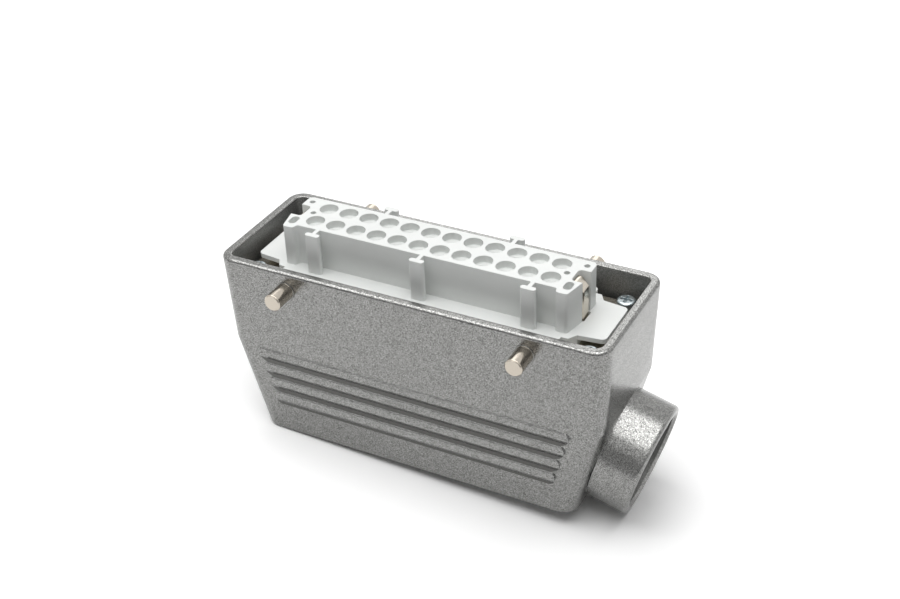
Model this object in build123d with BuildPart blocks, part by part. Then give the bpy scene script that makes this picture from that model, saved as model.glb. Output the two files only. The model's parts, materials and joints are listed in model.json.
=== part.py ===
from build123d import *
import os
from math import atan2, copysign, cos, sin, tan

os.makedirs("parts", exist_ok=True)

# Rectangular hood of a heavy duty connector, with a 24-way socket insert.
# The rim plane is z = 0, the mouth opens upwards, and the closed end is below.
# X runs along the hood towards the cable entry, and -Y is the front face.

# Sockets: everything along the hood is set out from this field
columns = 12
column_pitch = 6.7
row_pitch = 7.45
recess_radius = 2.75
recess_depth = 2.1
pin_hole_radius = 1.3
pin_lead_in = 0.55
web_thickness = 1.2

# Hood casting
hood_end_margin = 23.4
hood_width = 43.4
hood_height = 58.25
corner_radius = 5.0
hood_wall = 2.8
floor_wall = 3.0
kink_depth = 28.25
end_draft = 0.95
side_draft = 0.95
closed_end_setback = 9.05
closed_end_width = 40.4
rim_outer_round = 1.0
rim_inner_round = 0.5
closed_end_round = 0.8

# Grip ribs on the long faces
rib_count = 4
rib_pitch = 5.05
rib_kink_gap = 0.7
rib_height = 3.8
rib_top_drop = 0.35
rib_top_stand = 0.3
rib_crown_drop = 2.3
rib_stand = 0.75
rib_end_margin = 8.6

# Cable entry boss, square to the sloped end wall
boss_radius = 16.9
boss_length = 12.3
boss_rise = 13.8
boss_round = 1.2
boss_wall = 2.75
entry_shoulder = 2.65
entry_thread_runout = 1.3
entry_mouth_chamfer = 0.8

# Locking pegs, pressed through the long walls from inside
peg_end_margin = 23.05
peg_depth = 5.85
peg_radius = 2.6
peg_stand = 7.0
peg_tip_chamfer = 0.35
peg_seat_radius = 2.85
peg_head_rim = 0.75
peg_head_height = 1.0
peg_pad_rim = 1.0
peg_pad_stand = 0.6

# Fixing of the insert on four pillars in the hood's corners
fixing_end_inset = 8.25
fixing_side_inset = 8.2
fixing_thread_radius = 1.5
fixing_thread_clearance = 0.05
fixing_thread_spare = 1.0
fixing_shank_length = 10.0
fixing_head_radius = 2.75
fixing_head_height = 2.9
fixing_head_round = 0.8
fixing_slot_width = 0.8
fixing_cross_length = 3.5
fixing_slot_depth = 0.9
fixing_hole_clearance = 0.3
pillar_margin = 4.5
pillar_height = 26.0
pillar_round = 2.0

# Insert body
tower_top = 7.8
tower_width = 16.0
tower_end_margin = 8.8
ear_length = 5.0
ear_stand = 1.9
ear_taper = 1.5
ear_step_round = 0.9
ear_front_round = 0.9
ear_back_round = 1.6
flange_top_depth = 4.65
flange_thickness = 3.6
flange_side_gap = 4.0
flange_corner_radius = 1.5
shoulder_step = 2.0
shoulder_width = 23.7
nose_step = 1.6
nose_width = 18.6
tongue_end_gap = 2.75
tongue_width = 16.9
tongue_thickness = 1.4
tongue_corner_radius = 1.5
block_depth = 24.25
block_end_margin = 6.55
block_side_step = 1.0

# T-shaped key ribs
key_stem_width = 1.2
key_stem_length = 2.2
key_cap_width = 4.5
key_cap_thickness = 1.7
key_cap_round = 0.8
key_columns_front = (-5, 0, 5)
key_columns_back = (-3, 3)

# Tower ends: notch for the earth blade and moulding holes
notch_width = 5.9
notch_reach = 3.4
notch_round = 1.2
end_hole_radius = 0.85
end_hole_depth = 3.0
end_hole_inset = 5.75
corner_hole_inset = 2.15
corner_hole_offset = 5.4
oval_inset = 2.8
oval_offset = 5.8
oval_length = 4.0
oval_width = 2.4

# Contacts
sleeve_radius = 2.3
sleeve_bore_radius = 1.25
sleeve_bore_depth = 11.0
sleeve_top_gap = 0.2
chamber_gap = 0.2
clamp_top_depth = 12.25
clamp_width = 5.0
clamp_length = 9.2
clamp_height = 11.0
clamp_shift = 2.375
wire_bore_radius = 1.6
wire_bore_depth = 9.0
wire_bore_shift = 3.275
screw_drop = 5.0
screw_radius = 1.4
screw_thread_clearance = 0.05
screw_head_radius = 1.8
screw_head_height = 1.6
screw_slot_width = 0.6
screw_slot_depth = 0.6
screw_access_gap = 0.3

# Earth brackets
bracket_sheet = 1.2
bracket_side_gap = 2.4
bracket_end_gap = 1.45
bracket_groove_depth = 2.2
bracket_groove_clearance = 0.05
bracket_corner_radius = 2.5
blade_sheet = 0.8
blade_width = 4.2
blade_slot_gap = 0.4
blade_bend_drop = 3.6
blade_top_drop = 1.0
blade_top_inset = 2.0
blade_tip_inset = 3.2
blade_tip_round = 0.65
blade_bend_radius = 1.2
leg_drop = 16.0
leg_width = 12.0
leg_gap = 1.2
earth_screw_radius = 2.0
earth_screw_head_radius = 3.4
earth_screw_head_height = 2.4
earth_screw_reach = 2.6
earth_screw_drop = 9.0
earth_bore_gap = 0.4
earth_washer_size = 8.4
earth_washer_sheet = 1.0

# Worked out from the sizes above
field_half = (columns - 1) / 2 * column_pitch
half_length = field_half + hood_end_margin
half_width = hood_width / 2
kink_half_length = half_length - end_draft
kink_half_width = half_width - side_draft
closed_half_length = half_length - closed_end_setback
closed_half_width = closed_end_width / 2
end_slope = atan2(kink_half_length - closed_half_length, hood_height - kink_depth)
side_slope = atan2(kink_half_width - closed_half_width, hood_height - kink_depth)
peg_places = [peg_end_margin - half_length, half_length - peg_end_margin]
fixing_x = half_length - fixing_end_inset
fixing_y = half_width - fixing_side_inset
fixing_places = [(sx * fixing_x, sy * fixing_y) for sx in (-1, 1) for sy in (-1, 1)]
socket_places = [
    (i * column_pitch - field_half, side) for side in (-1, 1) for i in range(columns)
]
bracket_top = -flange_top_depth - flange_thickness
pillar_top = bracket_top - bracket_sheet
recess_floor = tower_top - recess_depth
sleeve_top = recess_floor - web_thickness - sleeve_top_gap
clamp_centre = row_pitch / 2 + clamp_shift
clamp_outer = clamp_centre + clamp_length / 2
wire_bore_offset = row_pitch / 2 + wire_bore_shift
screw_z = -clamp_top_depth - screw_drop


def end_wall_x(depth):
    """Half length of the hood's outside at a depth below the kink."""
    return kink_half_length - (depth - kink_depth) * tan(end_slope)


def side_wall_y(depth):
    """Half width of the hood's outside at a depth below the kink."""
    return kink_half_width - (depth - kink_depth) * tan(side_slope)


def long_face(side, distance):
    """Plane parallel to a long wall, facing outwards; its local Y is side times the depth."""
    return Plane(origin=(0, side * distance, 0), x_dir=(1, 0, 0), z_dir=(0, side, 0))


def end_face(side, distance):
    """Plane parallel to an end of the insert, facing outwards, with its local Y along +Z."""
    return Plane(origin=(side * distance, 0, 0), x_dir=(0, side, 0), z_dir=(side, 0, 0))


def rounded_loft(sections):
    """Straight-sided solid through rounded rectangles, given as height, length, width, radius."""
    with BuildPart() as body:
        for lower, upper in zip(sections, sections[1:]):
            for height, length, width, radius in (lower, upper):
                with BuildSketch(Plane.XY.offset(height)):
                    RectangleRounded(length, width, radius)
            loft(ruled=True)
    return body.part


def grip_rib(side, index):
    """Rib with rounded ends on one long face: a small upper edge, a shallow slope and a steep flank below."""
    top = kink_depth + rib_kink_gap + index * rib_pitch
    middle = top + rib_height / 2
    edge = top + rib_top_drop
    crown = top + rib_crown_drop
    bottom = top + rib_height
    length = 2 * (end_wall_x(middle) - rib_end_margin)
    root = side_wall_y(bottom) - hood_wall / 2
    with BuildPart() as rib:
        with BuildSketch(long_face(side, root)):
            with Locations((0, side * middle)):
                SlotOverall(length, rib_height)
        extrude(amount=hood_wall + rib_stand)
        with BuildSketch(Plane.YZ):
            with BuildLine():
                Polyline(
                    (side * root, -top),
                    (side * side_wall_y(top), -top),
                    (side * (side_wall_y(edge) + rib_top_stand), -edge),
                    (side * (side_wall_y(crown) + rib_stand), -crown),
                    (side * side_wall_y(bottom), -bottom),
                    (side * root, -bottom),
                    close=True,
                )
            make_face()
        extrude(amount=length, both=True, mode=Mode.INTERSECT)
    return rib.part


# Hood: one casting with drafted walls, sloped ends, grip ribs, cable boss and corner pillars
floor_depth = hood_height - floor_wall
inner_radius = corner_radius - hood_wall
end_wall_run = hood_wall / cos(end_slope)
hood_outside = rounded_loft(
    [
        (0, 2 * half_length, hood_width, corner_radius),
        (-kink_depth, 2 * kink_half_length, 2 * kink_half_width, corner_radius),
        (-hood_height, 2 * closed_half_length, closed_end_width, corner_radius),
    ]
)
hood_cavity = rounded_loft(
    [
        (0, 2 * (half_length - hood_wall), 2 * (half_width - hood_wall), inner_radius),
        (-kink_depth, 2 * (kink_half_length - hood_wall), 2 * (kink_half_width - hood_wall), inner_radius),
        (
            -floor_depth,
            2 * (end_wall_x(floor_depth) - end_wall_run),
            2 * (side_wall_y(floor_depth) - hood_wall),
            inner_radius,
        ),
    ]
)
boss_depth = hood_height - boss_rise
boss_root = (end_wall_x(boss_depth), 0, -boss_depth)
boss_plane = Plane(origin=boss_root, x_dir=(0, 1, 0), z_dir=(cos(end_slope), 0, -sin(end_slope)))

# each pillar runs from its margin round the hole to the middle of the corner's walls
pillar_length = pillar_margin + fixing_end_inset - hood_wall / 2
pillar_width = pillar_margin + fixing_side_inset - hood_wall / 2
pillar_shift_x = pillar_length / 2 - pillar_margin
pillar_shift_y = pillar_width / 2 - pillar_margin
with BuildPart() as pillars:
    with BuildSketch(Plane.XY.offset(pillar_top)):
        for x, y in fixing_places:
            with Locations((x + copysign(pillar_shift_x, x), y + copysign(pillar_shift_y, y))):
                RectangleRounded(pillar_length, pillar_width, pillar_round)
    extrude(amount=-pillar_height)
    add(hood_outside, mode=Mode.INTERSECT)

with BuildPart() as hood:
    add(hood_outside)
    fillet(hood.faces().sort_by(Axis.Z)[-1].edges(), rim_outer_round)
    fillet(hood.faces().sort_by(Axis.Z)[0].edges(), closed_end_round)
    with BuildSketch(boss_plane):
        Circle(boss_radius)
    extrude(amount=boss_length)
    fillet(hood.faces().sort_by(Axis(boss_root, boss_plane.z_dir))[-1].edges(), boss_round)
    for side in (-1, 1):
        for index in range(rib_count):
            add(grip_rib(side, index))
    add(hood_cavity, mode=Mode.SUBTRACT)
    fillet(hood.faces().sort_by(Axis.Z)[-1].inner_wires()[0].edges(), rim_inner_round)
    add(pillars.part)
    # pads inside the long walls, where the heads of the pegs seat
    pad_face = half_width - hood_wall - peg_pad_stand
    peg_head_radius = peg_seat_radius + peg_head_rim
    for side in (-1, 1):
        with BuildSketch(long_face(side, pad_face)):
            with Locations(*[(x, side * peg_depth) for x in peg_places]):
                Circle(peg_head_radius + peg_pad_rim)
        extrude(amount=hood_wall / 2 + peg_pad_stand)
        with BuildSketch(long_face(side, pad_face)):
            with Locations(*[(x, side * peg_depth) for x in peg_places]):
                Circle(peg_seat_radius)
        extrude(amount=half_width, mode=Mode.SUBTRACT)
    # tapped holes in the pillars
    with BuildSketch(Plane.XY.offset(pillar_top)):
        with Locations(*fixing_places):
            Circle(fixing_thread_radius + fixing_thread_clearance)
    extrude(amount=-(fixing_shank_length + fixing_thread_spare), mode=Mode.SUBTRACT)
    # threaded cable entry, and the narrower passage through the end wall
    with BuildSketch(boss_plane.offset(boss_length)):
        Circle(boss_radius - boss_wall)
    extrude(amount=entry_thread_runout - boss_length, mode=Mode.SUBTRACT)
    with BuildSketch(boss_plane.offset(boss_length)):
        Circle(boss_radius - boss_wall - entry_shoulder)
    extrude(amount=-(boss_length + 2 * hood_wall), mode=Mode.SUBTRACT)
    chamfer(
        hood.faces().sort_by(Axis(boss_root, boss_plane.z_dir))[-1].inner_wires()[0].edges(),
        entry_mouth_chamfer,
    )
hood.part.label = "hood"
export_step(hood.part, "parts/hood.step")


# Locking pegs: turned pins with a thicker seat in the wall, a chamfered tip and a flat head inside
for side, side_name in ((-1, "front"), (1, "back")):
    for x, end_name in zip(peg_places, ("left", "right")):
        with BuildPart() as locking_peg:
            with BuildSketch(long_face(side, pad_face)):
                with Locations((x, side * peg_depth)):
                    Circle(peg_radius)
            extrude(amount=half_width + peg_stand - pad_face)
            tip = locking_peg.faces().sort_by(Axis((0, 0, 0), (0, side, 0)))[-1]
            chamfer(tip.edges(), peg_tip_chamfer)
            with BuildSketch(long_face(side, pad_face)):
                with Locations((x, side * peg_depth)):
                    Circle(peg_seat_radius)
            extrude(amount=half_width - pad_face)
            with BuildSketch(long_face(side, pad_face)):
                with Locations((x, side * peg_depth)):
                    Circle(peg_head_radius)
            extrude(amount=-peg_head_height)
        locking_peg.part.label = f"locking_peg_{side_name}_{end_name}"
        export_step(locking_peg.part, f"parts/{locking_peg.part.label}.step")


# Insert body: one moulding with tower, key ribs, flange, tongues and terminal block
ear_end = field_half + tower_end_margin
ear_front = tower_width / 2 + ear_stand
block_half_length = field_half + block_end_margin
flange_half_width = half_width - hood_wall - flange_side_gap
shoulder_half_length = block_half_length + shoulder_step
nose_half_length = shoulder_half_length + nose_step
tongue_half_length = half_length - hood_wall - tongue_end_gap
chamber_size = 2 * (sleeve_radius + chamber_gap)
pocket_width = clamp_width + 2 * chamber_gap
pocket_length = clamp_length + 2 * chamber_gap
groove_start = block_half_length - bracket_groove_depth
blade_middle = ear_end - blade_sheet / 2
leg_inner_x = block_half_length + leg_gap
leg_outer_x = leg_inner_x + bracket_sheet
earth_screw_z = pillar_top - earth_screw_drop

with BuildPart() as insert_body:
    # terminal block
    with BuildSketch(Plane.XY.offset(-block_depth)):
        Rectangle(2 * block_half_length, 2 * (flange_half_width - block_side_step))
    extrude(amount=block_depth + bracket_top)
    # grooves that take the inner edges of the earth brackets
    for side in (-1, 1):
        with BuildSketch(Plane.XY.offset(bracket_top)):
            with Locations((side * (groove_start + bracket_groove_depth), 0)):
                Rectangle(2 * bracket_groove_depth, hood_width)
        extrude(amount=-(bracket_sheet + bracket_groove_clearance), mode=Mode.SUBTRACT)
    # flange with shoulders and noses
    with BuildSketch(Plane.XY.offset(bracket_top)):
        RectangleRounded(2 * block_half_length, 2 * flange_half_width, flange_corner_radius)
        Rectangle(2 * shoulder_half_length, shoulder_width)
        with BuildLine():
            Polyline(
                (-shoulder_half_length, -shoulder_width / 2),
                (-nose_half_length, -nose_width / 2),
                (-nose_half_length, nose_width / 2),
                (-shoulder_half_length, shoulder_width / 2),
                (shoulder_half_length, shoulder_width / 2),
                (nose_half_length, nose_width / 2),
                (nose_half_length, -nose_width / 2),
                (shoulder_half_length, -shoulder_width / 2),
                close=True,
            )
        make_face()
    extrude(amount=flange_thickness)
    # thin tongues over the earth brackets, narrower towards their ends
    with BuildSketch(Plane.XY.offset(-flange_top_depth)) as tongue_outline:
        with BuildLine():
            Polyline(
                (0, nose_width / 2),
                (nose_half_length, nose_width / 2),
                (tongue_half_length, tongue_width / 2),
                (tongue_half_length, 0),
            )
            mirror(about=Plane.YZ)
            mirror(about=Plane.XZ)
        make_face()
        for end_corners in (0, -1):
            fillet(tongue_outline.vertices().group_by(Axis.X)[end_corners], tongue_corner_radius)
    extrude(amount=-tongue_thickness)
    # tower with end ears and T-shaped key ribs
    with BuildSketch(Plane.XY.offset(-flange_top_depth)) as tower_outline:
        Rectangle(2 * ear_end, tower_width)
        for side in (-1, 1):
            with Locations((side * (ear_end - ear_length / 2), -(tower_width + ear_stand) / 2)):
                Rectangle(ear_length, ear_stand)
            # the end of the front ear slants inwards from the notch to the front
            with BuildLine():
                Polyline(
                    (side * ear_end, -notch_width / 2),
                    (side * (ear_end - ear_taper), -ear_front),
                    (side * ear_end, -ear_front),
                    close=True,
                )
            make_face(mode=Mode.SUBTRACT)
        fillet(tower_outline.vertices().group_by(Axis.Y)[-1], ear_back_round)
        fillet(tower_outline.vertices().group_by(Axis.Y)[1], ear_step_round)
        fillet(tower_outline.vertices().group_by(Axis.Y)[0].sort_by(Axis.X)[1:3], ear_step_round)
        front = tower_outline.vertices().group_by(Axis.Y)[0].sort_by(Axis.X)
        fillet([front[0], front[-1]], ear_front_round)
        for side, key_columns in ((-1, key_columns_front), (1, key_columns_back)):
            stem_middle = side * (tower_width + key_stem_length) / 2
            cap_middle = side * ((tower_width + key_cap_thickness) / 2 + key_stem_length)
            with Locations(*[(n * column_pitch, stem_middle) for n in key_columns]):
                Rectangle(key_stem_width, key_stem_length)
            with Locations(*[(n * column_pitch, cap_middle) for n in key_columns]):
                RectangleRounded(key_cap_width, key_cap_thickness, key_cap_round)
    extrude(amount=flange_top_depth + tower_top)
    # sockets: wide recess, pin hole with a lead-in, square chamber for the sleeve, pocket for the clamp
    sockets = [(x, side * row_pitch / 2) for x, side in socket_places]
    with BuildSketch(Plane.XY.offset(tower_top)):
        with Locations(*sockets):
            Circle(recess_radius)
    extrude(amount=-recess_depth, mode=Mode.SUBTRACT)
    with BuildSketch(Plane.XY.offset(recess_floor)):
        with Locations(*sockets):
            Circle(pin_hole_radius)
    extrude(amount=-web_thickness, mode=Mode.SUBTRACT)
    with BuildSketch(Plane.XY.offset(recess_floor)):
        with Locations(*sockets):
            Circle(pin_hole_radius + pin_lead_in)
    extrude(amount=-pin_lead_in, taper=45, mode=Mode.SUBTRACT)
    with BuildSketch(Plane.XY.offset(recess_floor - web_thickness)):
        with Locations(*sockets):
            Rectangle(chamber_size, chamber_size)
    extrude(amount=-(recess_floor - web_thickness + clamp_top_depth), mode=Mode.SUBTRACT)
    with BuildSketch(Plane.XY.offset(-block_depth)):
        with Locations(*[(x, side * clamp_centre) for x, side in socket_places]):
            Rectangle(pocket_width, pocket_length)
    extrude(amount=block_depth - clamp_top_depth, mode=Mode.SUBTRACT)
    # access holes for the terminal screws
    for side in (-1, 1):
        with BuildSketch(long_face(side, clamp_outer)):
            with Locations(*[(x, -side * screw_z) for x, row in socket_places if row == side]):
                Circle(screw_head_radius + screw_access_gap)
        extrude(amount=half_width, mode=Mode.SUBTRACT)
    # tower ends: arched notch with the blade's slot, and the moulding holes of the ears
    for side in (-1, 1):
        with BuildSketch(Plane.XY.offset(tower_top)):
            with Locations((side * ear_end, 0)):
                RectangleRounded(2 * notch_reach, notch_width, notch_round)
        extrude(amount=-(tower_top + flange_top_depth), mode=Mode.SUBTRACT)
        with BuildSketch(Plane.XY.offset(-flange_top_depth)):
            with Locations((side * blade_middle, 0)):
                Rectangle(blade_sheet + 2 * blade_slot_gap, blade_width + 2 * blade_slot_gap)
        extrude(amount=-flange_thickness, mode=Mode.SUBTRACT)
        with BuildSketch(Plane.XY.offset(tower_top)):
            with Locations((side * (ear_end - end_hole_inset), 0)):
                Circle(end_hole_radius)
            with Locations((side * (ear_end - corner_hole_inset), corner_hole_offset)):
                Circle(end_hole_radius)
            with Locations((side * (ear_end - oval_inset), -oval_offset)):
                SlotOverall(oval_length, oval_width, rotation=90)
        extrude(amount=-end_hole_depth, mode=Mode.SUBTRACT)
        # clearance for the end of the earth screw
        with BuildSketch(end_face(side, block_half_length)):
            with Locations((0, earth_screw_z)):
                Circle(earth_screw_radius + earth_bore_gap)
        extrude(amount=-(earth_screw_reach + earth_bore_gap - leg_gap), mode=Mode.SUBTRACT)
insert_body.part.label = "insert_body"
export_step(insert_body.part, "parts/insert_body.step")


# Contacts: sleeve for the mating pin, with a clamp block for the wire below
for number, (x, side) in enumerate(socket_places, start=1):
    with BuildPart() as contact:
        with BuildSketch(Plane.XY.offset(-clamp_top_depth)):
            with Locations((x, side * row_pitch / 2)):
                Circle(sleeve_radius)
        extrude(amount=clamp_top_depth + sleeve_top)
        with BuildSketch(Plane.XY.offset(-clamp_top_depth)):
            with Locations((x, side * clamp_centre)):
                Rectangle(clamp_width, clamp_length)
        extrude(amount=-clamp_height)
        with BuildSketch(Plane.XY.offset(sleeve_top)):
            with Locations((x, side * row_pitch / 2)):
                Circle(sleeve_bore_radius)
        extrude(amount=-sleeve_bore_depth, mode=Mode.SUBTRACT)
        with BuildSketch(Plane.XY.offset(-clamp_top_depth - clamp_height)):
            with Locations((x, side * wire_bore_offset)):
                Circle(wire_bore_radius)
        extrude(amount=wire_bore_depth, mode=Mode.SUBTRACT)
        with BuildSketch(long_face(side, wire_bore_offset)):
            with Locations((x, -side * screw_z)):
                Circle(screw_radius + screw_thread_clearance)
        extrude(amount=clamp_outer - wire_bore_offset, mode=Mode.SUBTRACT)
    contact.part.label = f"contact_{number:02d}"
    export_step(contact.part, f"parts/{contact.part.label}.step")


# Terminal screws: a slotted head on each clamp block
with BuildPart() as terminal_screws:
    for side in (-1, 1):
        row = [(x, -side * screw_z) for x, row_side in socket_places if row_side == side]
        with BuildSketch(long_face(side, wire_bore_offset + wire_bore_radius / 2)):
            with Locations(*row):
                Circle(screw_radius)
        extrude(amount=clamp_outer - wire_bore_offset - wire_bore_radius / 2)
        with BuildSketch(long_face(side, clamp_outer)):
            with Locations(*row):
                Circle(screw_head_radius)
        extrude(amount=screw_head_height)
        with BuildSketch(long_face(side, clamp_outer + screw_head_height)):
            with Locations(*row):
                Rectangle(2 * screw_head_radius, screw_slot_width)
        extrude(amount=-screw_slot_depth, mode=Mode.SUBTRACT)
terminal_screws.part.label = "terminal_screws"
export_step(terminal_screws.part, "parts/terminal_screws.step")


# Earth brackets: stamped plate under each tongue, with a contact blade above and a clamp leg below
for side, end_name in ((-1, "left"), (1, "right")):
    plate_outer_x = half_length - hood_wall - bracket_end_gap
    plate_centre = side * (groove_start + plate_outer_x) / 2
    plate_width = 2 * (half_width - hood_wall - bracket_side_gap)
    with BuildPart() as earth_bracket:
        with BuildSketch(Plane.XY.offset(bracket_top)):
            with Locations((plate_centre, 0)):
                RectangleRounded(plate_outer_x - groove_start, plate_width, bracket_corner_radius)
            with Locations(*[place for place in fixing_places if place[0] * side > 0]):
                Circle(fixing_thread_radius + fixing_hole_clearance, mode=Mode.SUBTRACT)
        extrude(amount=-bracket_sheet)
        with BuildSketch(end_face(side, leg_inner_x)):
            with Locations((0, bracket_top - (bracket_sheet + leg_drop) / 2)):
                Rectangle(leg_width, bracket_sheet + leg_drop)
            with Locations((0, earth_screw_z)):
                Circle(earth_screw_radius + fixing_thread_clearance, mode=Mode.SUBTRACT)
        extrude(amount=bracket_sheet)
        with BuildSketch(Plane.XZ):
            with BuildLine():
                FilletPolyline(
                    (side * ear_end, pillar_top),
                    (side * ear_end, tower_top - blade_bend_drop),
                    (side * (ear_end - blade_top_inset), tower_top - blade_top_drop),
                    (side * (ear_end - blade_tip_inset), tower_top - blade_top_drop),
                    radius=blade_bend_radius,
                )
                offset(amount=blade_sheet, side=Side.LEFT if side > 0 else Side.RIGHT)
            make_face()
        extrude(amount=blade_width / 2, both=True)
        tip = earth_bracket.faces().sort_by(Axis((0, 0, 0), (-side, 0, 1)))[-1]
        fillet(tip.edges().sort_by(SortBy.LENGTH)[:2], blade_tip_round)
    earth_bracket.part.label = f"earth_bracket_{end_name}"
    export_step(earth_bracket.part, f"parts/{earth_bracket.part.label}.step")


# Earth terminal screws, each with a square clamp washer on the bracket's leg
for side, end_name in ((-1, "left"), (1, "right")):
    with BuildPart() as earth_washer:
        with BuildSketch(end_face(side, leg_outer_x)):
            with Locations((0, earth_screw_z)):
                Rectangle(earth_washer_size, earth_washer_size)
                Circle(earth_screw_radius + fixing_hole_clearance, mode=Mode.SUBTRACT)
        extrude(amount=earth_washer_sheet)
    earth_washer.part.label = f"earth_washer_{end_name}"
    export_step(earth_washer.part, f"parts/{earth_washer.part.label}.step")
    head_seat_x = leg_outer_x + earth_washer_sheet
    with BuildPart() as earth_screw:
        with BuildSketch(end_face(side, leg_inner_x - earth_screw_reach)):
            with Locations((0, earth_screw_z)):
                Circle(earth_screw_radius)
        extrude(amount=head_seat_x - leg_inner_x + earth_screw_reach)
        with BuildSketch(end_face(side, head_seat_x)):
            with Locations((0, earth_screw_z)):
                Circle(earth_screw_head_radius)
        extrude(amount=earth_screw_head_height)
        with BuildSketch(end_face(side, head_seat_x + earth_screw_head_height)):
            with Locations((0, earth_screw_z)):
                Rectangle(2 * earth_screw_head_radius, fixing_slot_width)
        extrude(amount=-fixing_slot_depth, mode=Mode.SUBTRACT)
    earth_screw.part.label = f"earth_screw_{end_name}"
    export_step(earth_screw.part, f"parts/{earth_screw.part.label}.step")


# Fixing screws: hold the earth brackets, and with them the insert, to the hood's pillars
for number, place in enumerate(fixing_places, start=1):
    with BuildPart() as fixing_screw:
        with BuildSketch(Plane.XY.offset(bracket_top)):
            with Locations(place):
                Circle(fixing_head_radius)
        extrude(amount=fixing_head_height)
        fillet(fixing_screw.faces().sort_by(Axis.Z)[-1].edges(), fixing_head_round)
        with BuildSketch(Plane.XY.offset(bracket_top + fixing_head_height)):
            with Locations(place):
                Rectangle(fixing_cross_length, fixing_slot_width)
                Rectangle(fixing_slot_width, fixing_cross_length)
        extrude(amount=-fixing_slot_depth, mode=Mode.SUBTRACT)
        with BuildSketch(Plane.XY.offset(bracket_top)):
            with Locations(place):
                Circle(fixing_thread_radius)
        extrude(amount=-(bracket_sheet + fixing_shank_length))
    fixing_screw.part.label = f"fixing_screw_{number}"
    export_step(fixing_screw.part, f"parts/{fixing_screw.part.label}.step")
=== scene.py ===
import json
from math import pi, radians, tan
import bmesh
import bpy
from mathutils import Matrix, Vector


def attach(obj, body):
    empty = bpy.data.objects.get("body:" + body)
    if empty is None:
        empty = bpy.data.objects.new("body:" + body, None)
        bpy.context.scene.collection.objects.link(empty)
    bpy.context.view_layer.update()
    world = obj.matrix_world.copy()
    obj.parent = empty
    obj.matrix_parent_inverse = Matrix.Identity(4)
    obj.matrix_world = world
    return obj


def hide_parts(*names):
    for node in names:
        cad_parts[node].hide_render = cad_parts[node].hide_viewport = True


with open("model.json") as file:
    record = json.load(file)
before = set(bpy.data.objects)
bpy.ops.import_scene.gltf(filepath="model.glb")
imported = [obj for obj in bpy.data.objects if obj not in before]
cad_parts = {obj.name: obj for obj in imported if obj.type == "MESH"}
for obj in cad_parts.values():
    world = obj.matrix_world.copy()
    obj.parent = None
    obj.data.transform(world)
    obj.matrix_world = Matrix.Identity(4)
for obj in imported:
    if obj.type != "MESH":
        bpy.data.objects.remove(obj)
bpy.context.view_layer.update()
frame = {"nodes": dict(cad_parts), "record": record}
nodes = frame["nodes"]
mounts = {mount["name"]: mount for mount in frame["record"]["mounts"]}


# The hood is one aluminium die casting, sprayed inside and out with a grey hammertone
# enamel: a coat with fine metal flakes that dries to a skin of tiny pits and crests.
# The insert hangs in its mouth, and the cable comes in through the boss at the end.

def linear(code):
    """Linear colour from a six-digit display colour."""
    channels = [int(code[i:i + 2], 16) / 255 for i in (0, 2, 4)]
    return [c / 12.92 if c <= 0.04045 else ((c + 0.055) / 1.055) ** 2.4 for c in channels] + [1.0]


class Finish:
    """A material whose nodes are added one after another to a Principled shader."""

    def __init__(self, name, colour, roughness, metallic=0.0):
        self.material = bpy.data.materials.new(name)
        self.material.use_nodes = True
        self.tree = self.material.node_tree
        self.shader = self.tree.nodes["Principled BSDF"]
        self.set("Base Color", linear(colour))
        self.set("Roughness", roughness)
        self.set("Metallic", metallic)
        self.coordinates = self.node("ShaderNodeTexCoord").outputs["Object"]

    def node(self, kind, **settings):
        made = self.tree.nodes.new(kind)
        for key, value in settings.items():
            setattr(made, key, value)
        return made

    def set(self, socket, value):
        self.shader.inputs[socket].default_value = value

    def link(self, source, target):
        self.tree.links.new(source, target)

    def noise(self, scale, detail=2.0, roughness=0.5, coordinates=None):
        made = self.node("ShaderNodeTexNoise")
        made.inputs["Scale"].default_value = scale
        made.inputs["Detail"].default_value = detail
        made.inputs["Roughness"].default_value = roughness
        self.link(coordinates or self.coordinates, made.inputs["Vector"])
        return made.outputs["Fac"]

    def ramp(self, source, stops):
        made = self.node("ShaderNodeValToRGB")
        elements = made.color_ramp.elements
        while len(elements) < len(stops):
            elements.new(0.5)
        for element, (place, colour) in zip(elements, stops):
            element.position = place
            element.color = colour if isinstance(colour, list) else [colour, colour, colour, 1.0]
        self.link(source, made.inputs["Fac"])
        return made.outputs["Color"]

    def math(self, operation, first, second):
        made = self.node("ShaderNodeMath", operation=operation)
        for socket, value in zip(made.inputs, (first, second)):
            if isinstance(value, (int, float)):
                socket.default_value = value
            else:
                self.link(value, socket)
        return made.outputs["Value"]

    def fade(self, value, low, high):
        """Nought below the low bound, one above the high bound and a soft step between them."""
        made = self.node("ShaderNodeMapRange", interpolation_type="SMOOTHSTEP")
        made.inputs["From Min"].default_value = low
        made.inputs["From Max"].default_value = high
        self.link(value, made.inputs["Value"])
        return made.outputs["Result"]

    def mix(self, factor, first, second):
        """One colour that gives way to a second as the factor goes from nought to one."""
        made = self.node("ShaderNodeMix", data_type="RGBA")
        self.link(factor, made.inputs["Factor"])
        for socket, colour in (("A", first), ("B", second)):
            if isinstance(colour, str):
                made.inputs[socket].default_value = linear(colour)
            else:
                self.link(colour, made.inputs[socket])
        return made.outputs["Result"]

    def bump(self, height, distance, strength=1.0, below=None):
        made = self.node("ShaderNodeBump")
        made.inputs["Distance"].default_value = distance
        made.inputs["Strength"].default_value = strength
        self.link(height, made.inputs["Height"])
        if below:
            self.link(below, made.inputs["Normal"])
        return made.outputs["Normal"]

    def rounded_edges(self, radius):
        """Softened edges, as every cast, moulded or stamped edge has them."""
        made = self.node("ShaderNodeBevel", samples=6)
        made.inputs["Radius"].default_value = radius
        return made.outputs["Normal"]


sharp_above = radians(15)


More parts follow.
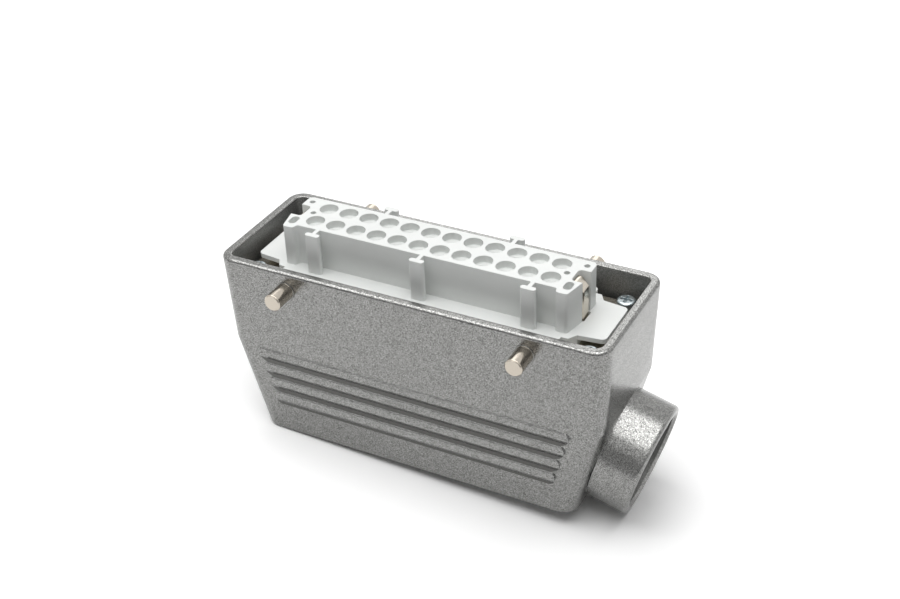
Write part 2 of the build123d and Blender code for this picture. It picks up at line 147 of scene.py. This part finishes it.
def smooth_copy(node):
    """The CAD node's own surface as one welded mesh, smooth over its curved stretches."""
    mesh = nodes[node].data.copy()
    mesh.materials.clear()
    work = bmesh.new()
    work.from_mesh(mesh)
    bmesh.ops.remove_doubles(work, verts=work.verts, dist=1e-6)
    for face in work.faces:
        face.smooth = True
    for edge in work.edges:
        edge.smooth = len(edge.link_faces) == 2 and edge.calc_face_angle(0.0) < sharp_above
    work.to_mesh(mesh)
    work.free()
    piece = bpy.data.objects.new(node + "_finish", mesh)
    bpy.context.scene.collection.objects.link(piece)
    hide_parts(node)
    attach(piece, "root")
    return piece


entry = mounts["cable_entry"]
entry_axis = Vector(entry["axis"])
entry_radius = entry["dims"]["r_mm"] / 1000
entry_length = entry["dims"]["length_mm"] / 1000
entry_mouth = Vector(entry["pos_m"]) + entry_axis * entry_length / 2
entry_depth = 0.02
surface_margin = 0.0001

# The cavity: its ends lean in a little down to the kink, and more below it
cavity_top = 0.0006
cavity_floor = 0.0565
cavity_half_width = 0.0193
mouth_half_length = 0.0585
mouth_draft = 0.025
kink_depth = 0.028
end_slope = 0.27


def inside_hood(place):
    """True for the cavity's walls and for the bore of the cable entry, which take a painted shade."""
    from_mouth = place - entry_mouth
    along = from_mouth.dot(entry_axis)
    off_axis = (from_mouth - along * entry_axis).length
    if -entry_depth < along < surface_margin and off_axis < entry_radius + surface_margin:
        return True
    depth = -place.z
    half_length = mouth_half_length - mouth_draft * depth - end_slope * max(0.0, depth - kink_depth)
    within_walls = abs(place.y) < cavity_half_width and abs(place.x) < half_length
    return cavity_top < depth < cavity_floor and within_walls


# The painted shade under the grip ribs: depths of the first rib's top and of the lowest foot,
# the pitch, and the drop from a rib's top to its steep flank
rib_top = 0.02895
ribs_foot = 0.04865
rib_pitch = 0.00505
rib_flank = 0.0033
rib_end = 0.0583
rib_end_rounding = 600.0
outer_wall = 0.0197
edge_blur = 0.00012


def shade_under_ribs(finish):
    """One from each grip rib's flank down to the next rib, where painted shade darkens the hood, and
    nought on the rest of it.
    """
    place = finish.node("ShaderNodeSeparateXYZ")
    finish.link(finish.coordinates, place.inputs["Vector"])
    height = place.outputs["Z"]
    depth = finish.math("MULTIPLY", height, -1.0)
    drop = finish.math("MODULO", finish.math("SUBTRACT", depth, rib_top), rib_pitch)
    below_flank = finish.fade(drop, rib_flank - edge_blur * 3, rib_flank + edge_blur * 3)
    above_foot = finish.fade(height, -ribs_foot - edge_blur, -ribs_foot + edge_blur)
    past_flank = finish.math("SUBTRACT", drop, rib_flank)
    rounding = finish.math("MULTIPLY", finish.math("MULTIPLY", past_flank, past_flank), rib_end_rounding)
    from_middle = finish.math("ABSOLUTE", place.outputs["X"], 0.0)
    along = finish.math("ADD", from_middle, finish.math("MULTIPLY", depth, end_slope))
    to_end = finish.math("SUBTRACT", rib_end, finish.math("ADD", along, rounding))
    before_end = finish.fade(to_end, -edge_blur, edge_blur * 3)
    outwards = finish.math("ABSOLUTE", place.outputs["Y"], 0.0)
    outside = finish.fade(outwards, outer_wall - surface_margin, outer_wall + surface_margin)
    return finish.math(
        "MULTIPLY",
        finish.math("MULTIPLY", below_flank, above_foot),
        finish.math("MULTIPLY", before_end, outside),
    )


flakes_per_metre = 7200.0
skin_relief = 0.000004
cast_edge = 0.0002
outer_roughness = 0.24
inner_roughness = 0.55

paint = Finish("hammertone_grey", "7E7E7C", outer_roughness, metallic=0.94)
flakes = paint.node("ShaderNodeTexVoronoi", feature="F1")
flakes.inputs["Scale"].default_value = flakes_per_metre
paint.link(paint.coordinates, flakes.inputs["Vector"])
flake = paint.node("ShaderNodeSeparateColor")
paint.link(flakes.outputs["Color"], flake.inputs["Color"])
paint.link(
    paint.bump(flakes.outputs["Distance"], skin_relief, 1.0, paint.rounded_edges(cast_edge)),
    paint.shader.inputs["Normal"],
)
flake_tone = paint.ramp(flake.outputs["Red"], [(0.0, linear("3C3C3A")), (1.0, linear("AFAFAD"))])
# Painted shade: a flat, darker band under each grip rib stands in for the dark reflection of the shadowed
# table that the ribs' flanks show.
painted_rib_shade = paint.mix(shade_under_ribs(paint), flake_tone, "585856")
# Painted shade: the cavity walls and the entry bore get a flatter, slightly darker tone than the outside,
# and a duller coat.
inside = paint.node("ShaderNodeAttribute", attribute_name="inside")
inner_painted_shade = paint.ramp(flake.outputs["Red"], [(0.0, linear("5E5E5C")), (1.0, linear("969694"))])
paint.link(paint.mix(inside.outputs["Fac"], painted_rib_shade, inner_painted_shade), paint.shader.inputs["Base Color"])
paint.link(
    paint.ramp(inside.outputs["Fac"], [(0.0, outer_roughness), (1.0, inner_roughness)]),
    paint.shader.inputs["Roughness"],
)

hood = smooth_copy("hood")
hood.data.materials.append(paint.material)
shaded = hood.data.attributes.new("inside", "FLOAT", "FACE")
shaded.data.foreach_set("value", [float(inside_hood(face.center)) for face in hood.data.polygons])


# The cable entry is threaded for a gland: a 1.588 mm pitch thread, cut in the boss after
# casting and painted over at its mouth. Its crests stand in from the plain bore.

entry_pitch = 0.001588
ridge_height = 0.00076
ridge_steps = 48
ridge_turns = 6
first_turn = 0.0017
across = Vector((0, 1, 0))

# The ridge's section, along the entry in pitches and inwards in ridge heights
ridge_section = ((-0.46, -0.05), (-0.08, 1.0), (0.08, 1.0), (0.46, -0.05))

thread = bmesh.new()
profile = []
for along, inwards in ridge_section:
    place = entry_mouth - entry_axis * (first_turn + along * entry_pitch)
    profile.append(thread.verts.new(place + across * (entry_radius - inwards * ridge_height)))
edges = [thread.edges.new(pair) for pair in zip(profile, profile[1:] + profile[:1])]
bmesh.ops.spin(
    thread,
    geom=profile + edges,
    cent=entry_mouth,
    axis=entry_axis,
    dvec=entry_axis * (-entry_pitch / ridge_steps),
    angle=2 * pi * ridge_turns,
    steps=ridge_steps * ridge_turns,
    use_merge=False,
    use_duplicate=False,
)
bmesh.ops.holes_fill(thread, edges=[edge for edge in thread.edges if edge.is_boundary], sides=4)
bmesh.ops.recalc_face_normals(thread, faces=thread.faces)
for face in thread.faces:
    face.smooth = True
ridge_mesh = bpy.data.meshes.new("entry_thread")
thread.to_mesh(ridge_mesh)
thread.free()
ridge = bpy.data.objects.new("entry_thread", ridge_mesh)
bpy.context.scene.collection.objects.link(ridge)
ridge.data.materials.append(paint.material)
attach(ridge, "root")


# Four locking pegs are pressed through the long walls from inside. Each is a turned steel
# pin, nickel plated, with the rings of the tool and a small centre pip on its face.

nickel_tone = "BBB3A7"
ring_pitch = 0.00022
ring_relief = 0.000006
turned_edge = 0.0002
coat_margin = 0.00004


def peg_finish(name, x, z):
    """Turned nickel about the peg's own axis, with the hood's enamel over its seat in the wall."""
    nickel = Finish(name, nickel_tone, 0.16, metallic=1.0)
    place = nickel.node("ShaderNodeMapping")
    place.inputs["Location"].default_value = (-x, 0, -z)
    nickel.link(nickel.coordinates, place.inputs["Vector"])
    flat = nickel.node("ShaderNodeVectorMath", operation="MULTIPLY")
    flat.inputs[1].default_value = (1, 0, 1)
    nickel.link(place.outputs["Vector"], flat.inputs[0])
    reach = nickel.node("ShaderNodeVectorMath", operation="LENGTH")
    nickel.link(flat.outputs["Vector"], reach.inputs[0])
    rings = nickel.math("SINE", nickel.math("MULTIPLY", reach.outputs["Value"], 2 * pi / ring_pitch), 0.0)
    nickel.link(
        nickel.bump(rings, ring_relief, 0.5, nickel.rounded_edges(turned_edge)),
        nickel.shader.inputs["Normal"],
    )
    nickel.link(
        nickel.ramp(nickel.noise(900.0, 3.0), [(0.35, 0.12), (0.7, 0.26)]),
        nickel.shader.inputs["Roughness"],
    )
    seat = nickel.node("ShaderNodeAttribute", attribute_name="painted")
    nickel.link(nickel.mix(seat.outputs["Fac"], nickel_tone, "767674"), nickel.shader.inputs["Base Color"])
    return nickel.material


for side in ("front", "back"):
    for end in ("left", "right"):
        mount = mounts[f"peg_{side}_{end}"]
        peg_x, _, peg_z = mount["pos_m"]
        coated_beyond = mount["dims"]["r_mm"] / 1000 + coat_margin
        peg = smooth_copy(f"locking_peg_{side}_{end}")
        peg.data.materials.append(peg_finish(f"nickel_peg_{side}_{end}", peg_x, peg_z))
        off_axis = [
            Vector((face.center.x - peg_x, face.center.z - peg_z)).length for face in peg.data.polygons
        ]
        painted = peg.data.attributes.new("painted", "FLOAT", "FACE")
        painted.data.foreach_set("value", [float(distance > coated_beyond) for distance in off_axis])


# The insert body is one moulding in light grey glass-filled plastic: the tower with its
# sockets and key ribs, the flange with a tongue at each end, and the terminal block.

moulded_edge = 0.00022
moulded_relief = 0.00002

plastic = Finish("light_grey_moulding", "DCDEDC", 0.42)
plastic.set("Specular IOR Level", 0.35)
plastic.set("Subsurface Weight", 0.1)
plastic.set("Subsurface Radius", (0.6, 0.6, 0.6))
plastic.set("Subsurface Scale", 0.0008)
plastic.link(
    plastic.bump(plastic.noise(2400.0, 3.0), moulded_relief, 0.6, plastic.rounded_edges(moulded_edge)),
    plastic.shader.inputs["Normal"],
)
plastic.link(
    plastic.ramp(plastic.noise(60.0, 3.0), [(0.3, linear("DADCDA")), (0.7, linear("E0E2E0"))]),
    plastic.shader.inputs["Base Color"],
)
plastic.link(
    plastic.ramp(plastic.noise(1200.0, 2.0), [(0.3, 0.36), (0.7, 0.50)]),
    plastic.shader.inputs["Roughness"],
)
insert = smooth_copy("insert_body")
insert.data.materials.append(plastic.material)


# The socket contacts are turned in copper alloy and silver plated. They sit deep in the
# insert, so only a dark ring of each shows through its pin hole.

silver = Finish("silver_plate", "D8D2C4", 0.28, metallic=1.0)
silver.link(
    silver.ramp(silver.noise(700.0, 4.0), [(0.3, linear("B9AF9C")), (0.7, linear("DDD8CC"))]),
    silver.shader.inputs["Base Color"],
)
silver.link(
    silver.bump(silver.noise(4000.0, 2.0), 0.00001, 0.5),
    silver.shader.inputs["Normal"],
)
for name, node in nodes.items():
    if name.startswith("contact_"):
        node.data.materials.clear()
        node.data.materials.append(silver.material)


# The earth brackets are stamped from nickel-plated spring sheet. Each lies under a tongue,
# with a blade that comes up in the tower's notch and a leg that takes the earth wire.

stamped_edge = 0.00015
rolled_relief = 0.000002

sheet = Finish("nickel_plated_sheet", "C9C2B6", 0.18, metallic=1.0)
grain = sheet.node("ShaderNodeMapping")
grain.inputs["Scale"].default_value = (6.0, 1.0, 0.25)
sheet.link(sheet.coordinates, grain.inputs["Vector"])
rolled = sheet.noise(2200.0, 3.0, 0.6, grain.outputs["Vector"])
sheet.link(
    sheet.bump(rolled, rolled_relief, 0.4, sheet.rounded_edges(stamped_edge)),
    sheet.shader.inputs["Normal"],
)
sheet.link(
    sheet.ramp(rolled, [(0.3, 0.16), (0.7, 0.24)]),
    sheet.shader.inputs["Roughness"],
)
for end in ("left", "right"):
    bracket = smooth_copy(f"earth_bracket_{end}")
    bracket.data.materials.append(sheet.material)


# Screws: the four that fix the insert and the two that clamp the earth wires are steel with
# a bluish zinc plate; the small terminal screws are plain plated steel, but take the same zinc finish
# here.

screw_edge = 0.00015
zinc_relief = 0.00002

zinc = Finish("blue_zinc_plate", "B4BEC2", 0.30, metallic=1.0)
zinc.link(
    zinc.ramp(zinc.noise(1500.0, 4.0), [(0.3, linear("98A3A8")), (0.7, linear("CCD3D4"))]),
    zinc.shader.inputs["Base Color"],
)
zinc.link(
    zinc.bump(zinc.noise(5000.0, 3.0), zinc_relief, 0.8, zinc.rounded_edges(screw_edge)),
    zinc.shader.inputs["Normal"],
)
for number in range(1, 5):
    screw = smooth_copy(f"fixing_screw_{number}")
    screw.data.materials.append(zinc.material)
earth_fasteners = [f"earth_{kind}_{end}" for kind in ("washer", "screw") for end in ("left", "right")]
for name in ["terminal_screws"] + earth_fasteners:
    nodes[name].data.materials.clear()
    nodes[name].data.materials.append(zinc.material)


# The studio: a milky table whose sheet glows more and more towards the back right, a painted
# pool of light, a large softbox overhead, a small one behind, and a black net in front, which
# gives the metal its darker lines. The hood stands on its closed end and the lip of its boss,
# so the table is set to the lean that this gives.

table_contact = -0.051
table_height = -0.05825
table_slope = radians(-2.93)
table_half_size = 4.0
milky = Finish("milky_table", "F4F4F4", 0.6)
milky.set("Specular IOR Level", 0.0)


def seen_directly(tree):
    """One where a ray comes from the camera or off metal or glass, and nought for scattered light."""
    rays = tree.nodes.new("ShaderNodeLightPath")
    either = rays.outputs["Is Camera Ray"]
    for ray in ("Is Glossy Ray", "Is Transmission Ray"):
        joined = tree.nodes.new("ShaderNodeMath")
        joined.operation = "MAXIMUM"
        tree.links.new(either, joined.inputs[0])
        tree.links.new(rays.outputs[ray], joined.inputs[1])
        either = joined.outputs["Value"]
    return either


def by_ray(tree, scattered, direct):
    """One strength for scattered light and another for what is seen directly."""
    made = tree.nodes.new("ShaderNodeMapRange")
    made.inputs["To Min"].default_value = scattered
    made.inputs["To Max"].default_value = direct
    tree.links.new(seen_directly(tree), made.inputs["Value"])
    return made.outputs["Result"]


table_scattering = 0.9
table_as_seen = 1.17
milky.link(by_ray(milky.tree, table_scattering, table_as_seen), milky.shader.inputs["Base Color"])
# Painted light: the table's sheet glows, more towards the back right, as a pool of light that no lamp
# casts.
towards_back = milky.node("ShaderNodeVectorMath", operation="DOT_PRODUCT")
towards_back.inputs[1].default_value = (0.6, 0.8, 0.0)
milky.link(milky.coordinates, towards_back.inputs[0])
painted_glow = milky.node("ShaderNodeMapRange", interpolation_type="SMOOTHSTEP")
for socket, value in (("From Min", 0.03), ("From Max", 0.11), ("To Min", 0.0), ("To Max", 0.12)):
    painted_glow.inputs[socket].default_value = value
milky.link(towards_back.outputs["Value"], painted_glow.inputs["Value"])
milky.set("Emission Color", (1.0, 1.0, 1.0, 1.0))
milky.link(painted_glow.outputs["Result"], milky.shader.inputs["Emission Strength"])

ground = bmesh.new()
bmesh.ops.create_grid(ground, x_segments=2, y_segments=2, size=table_half_size)
bmesh.ops.rotate(ground, verts=ground.verts, matrix=Matrix.Rotation(-table_slope, 3, "Y"))
bmesh.ops.translate(
    ground,
    verts=ground.verts,
    vec=(0, 0, table_height - table_contact * tan(table_slope)),
)
table_mesh = bpy.data.meshes.new("table")
ground.to_mesh(table_mesh)
ground.free()
table = bpy.data.objects.new("table", table_mesh)
bpy.context.scene.collection.objects.link(table)
table.data.materials.append(milky.material)

# The net is half open, and hangs where the camera doesn't see it
scrim_place = (0.0, -0.9, 0.15)
scrim_half_width = 1.6
scrim_half_height = 0.35
net = Finish("black_net", "101010", 0.9)
net.set("Alpha", 0.55)
screen = bmesh.new()
bmesh.ops.create_grid(screen, x_segments=1, y_segments=1, size=1.0)
bmesh.ops.scale(screen, verts=screen.verts, vec=(scrim_half_width, scrim_half_height, 1.0))
bmesh.ops.rotate(screen, verts=screen.verts, matrix=Matrix.Rotation(pi / 2, 3, "X"))
bmesh.ops.translate(screen, verts=screen.verts, vec=scrim_place)
screen_mesh = bpy.data.meshes.new("scrim")
screen.to_mesh(screen_mesh)
screen.free()
scrim = bpy.data.objects.new("scrim", screen_mesh)
bpy.context.scene.collection.objects.link(scrim)
scrim.data.materials.append(net.material)
scrim.visible_camera = False

room_light = 0.28
room_as_seen = 1.0
world = bpy.data.worlds.new("studio")
bpy.context.scene.world = world
world.use_nodes = True
room = world.node_tree.nodes["Background"]
room.inputs["Color"].default_value = (1.0, 1.0, 1.0, 1.0)
world.node_tree.links.new(by_ray(world.node_tree, room_light, room_as_seen), room.inputs["Strength"])


def softbox(name, place, target, width, height, radiance):
    """A soft rectangular lamp of an even radiance, turned to its target."""
    light = bpy.data.lights.new(name, "AREA")
    light.shape = "RECTANGLE"
    light.size = width
    light.size_y = height
    light.energy = radiance * pi * width * height
    lamp = bpy.data.objects.new(name, light)
    lamp.location = place
    lamp.rotation_euler = (Vector(target) - Vector(place)).to_track_quat("-Z", "Y").to_euler()
    lamp.visible_camera = False
    bpy.context.scene.collection.objects.link(lamp)


softbox("softbox_overhead", (-0.05, -0.08, 0.6), (-0.05, -0.08, 0.0), 0.9, 0.72, 2.6)
softbox("softbox_behind", (-0.25, 0.79, 0.5), (0.0, 0.0, 0.0), 0.5, 0.38, 1.4)

lens = 58.009
camera_place = Vector((0.168761, -0.303999, 0.214383))
camera_target = Vector((0.003951, 0.0, -0.010417))
camera_roll = radians(-2.23)
camera_data = bpy.data.cameras.new("camera")
camera_data.lens = lens
camera_data.sensor_width = 36.0
camera = bpy.data.objects.new("camera", camera_data)
camera.location = camera_place
aim = (camera_target - camera_place).to_track_quat("-Z", "Y").to_matrix()
camera.rotation_euler = (aim @ Matrix.Rotation(camera_roll, 3, "Z")).to_euler()
bpy.context.scene.collection.objects.link(camera)
bpy.context.scene.camera = camera
bpy.context.scene.view_settings.view_transform = "Standard"
